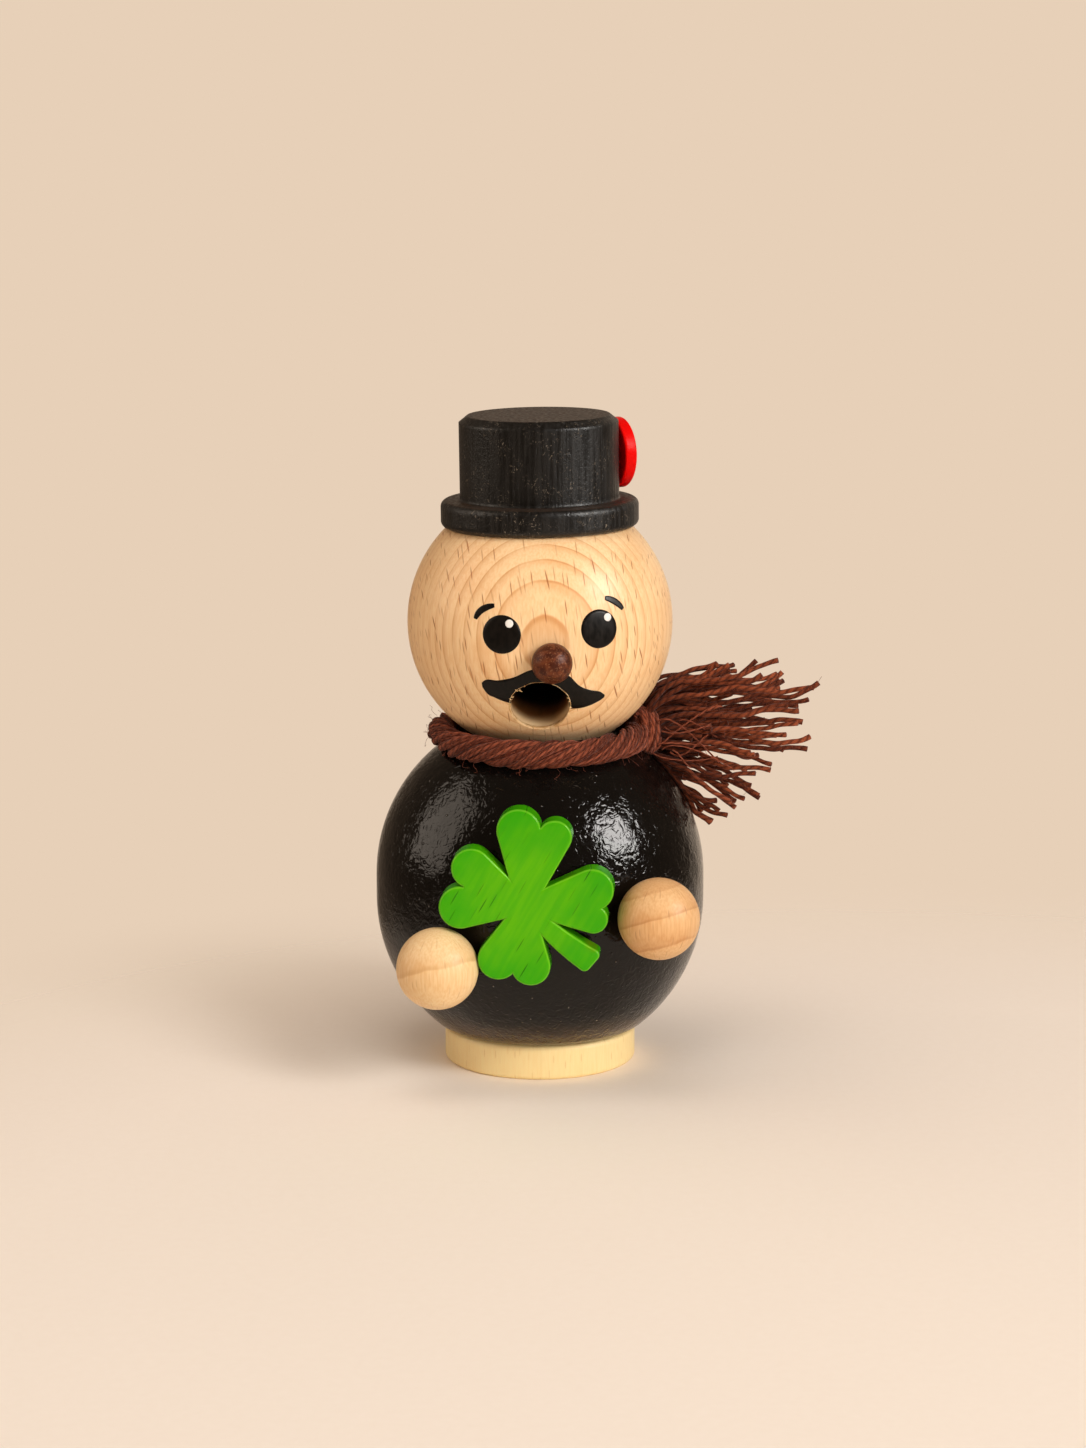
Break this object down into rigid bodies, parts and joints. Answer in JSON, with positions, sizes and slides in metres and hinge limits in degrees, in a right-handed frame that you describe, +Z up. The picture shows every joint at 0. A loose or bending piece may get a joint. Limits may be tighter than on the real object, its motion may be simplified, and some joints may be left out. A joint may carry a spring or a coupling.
{
  "type": "incense smoker",
  "caption": "Round turned-wood incense smoker figure with top hat, cord scarf and clover, lifting off a plugged foot to load an incense cone; smoke leaves by the mouth.",
  "frame": {"origin": "middle of the foot's underside, on the surface it stands on", "axes": "+Z up along the turned axis, -Y the way the face looks, +X the viewer's right"},
  "size_m": [0.081, 0.0684, 0.119],
  "materials": {
    "foot_wood": "satin",
    "dish_brass": "satin",
    "nail_steel": "satin",
    "body_black": "gloss lacquer",
    "dowel_wood": "raw",
    "head_beech": "satin lacquer",
    "nose_brown": "stained satin",
    "hat_black": "semi-gloss paint",
    "disc_red": "semi-gloss paint",
    "right_hand_wood": "satin",
    "left_hand_wood": "satin",
    "clover_green": "stained gloss",
    "scarf_cord": "twisted yarn"
  },
  "bodies": {
    "base": {"base_foot": "foot_wood"},
    "ember_dish": {"ember_plate": "dish_brass", "plate_nail": "nail_steel"},
    "figure": {"body_ball": "body_black", "neck_sleeve": "dowel_wood", "head_ball": "head_beech", "nose": "nose_brown", "nose_peg": "dowel_wood", "top_hat": "hat_black", "hat_dowel": "dowel_wood", "hat_disc": "disc_red", "right_hand": "right_hand_wood", "right_hand_dowel": "dowel_wood", "left_hand": "left_hand_wood", "left_hand_dowel": "dowel_wood", "clover": "clover_green", "clover_dowel": "dowel_wood", "scarf_rope": "scarf_cord", "scarf_knot": "scarf_cord", "scarf_end_upper": "scarf_cord", "scarf_end_lower": "scarf_cord"}
  },
  "joints": [
    {"name": "figure_twist", "type": "hinge", "parent": "base", "child": "ember_dish", "pos_m": [0, 0, 0.0065], "axis": [0, 0, 1], "continuous": true},
    {"name": "figure_lift", "type": "slide", "parent": "ember_dish", "child": "figure", "axis": [0, 0, 1], "range_m": [0, 0.05]}
  ]
}
